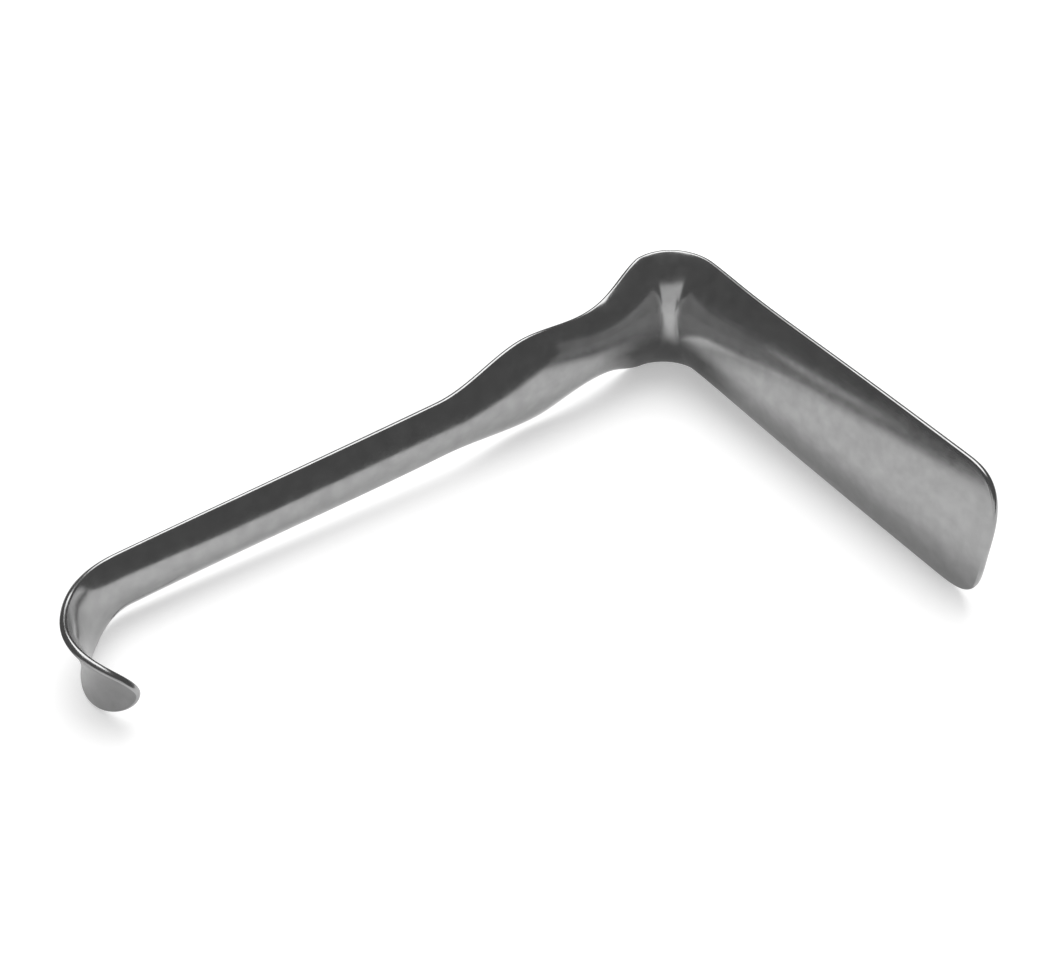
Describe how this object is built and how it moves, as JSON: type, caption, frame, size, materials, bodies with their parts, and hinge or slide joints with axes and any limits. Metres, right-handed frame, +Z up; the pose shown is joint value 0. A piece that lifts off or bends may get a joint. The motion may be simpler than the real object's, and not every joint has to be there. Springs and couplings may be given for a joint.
{
  "type": "vaginal speculum",
  "caption": "Single-blade vaginal speculum pressed from one steel sheet: trough blade square to a channelled handle that ends in a hook.",
  "frame": {"origin": "centre of the bounding box at the level of the table the speculum lies on", "axes": "+X along the handle from the hook to the bend, -Y along the blade from the bend to its tip, +Z up from the table, across the sheet's width"},
  "size_m": [0.186, 0.118, 0.0381],
  "materials": {
    "satin_steel": "satin polished"
  },
  "bodies": {
    "root": {"speculum": "satin_steel"}
  },
  "joints": []
}
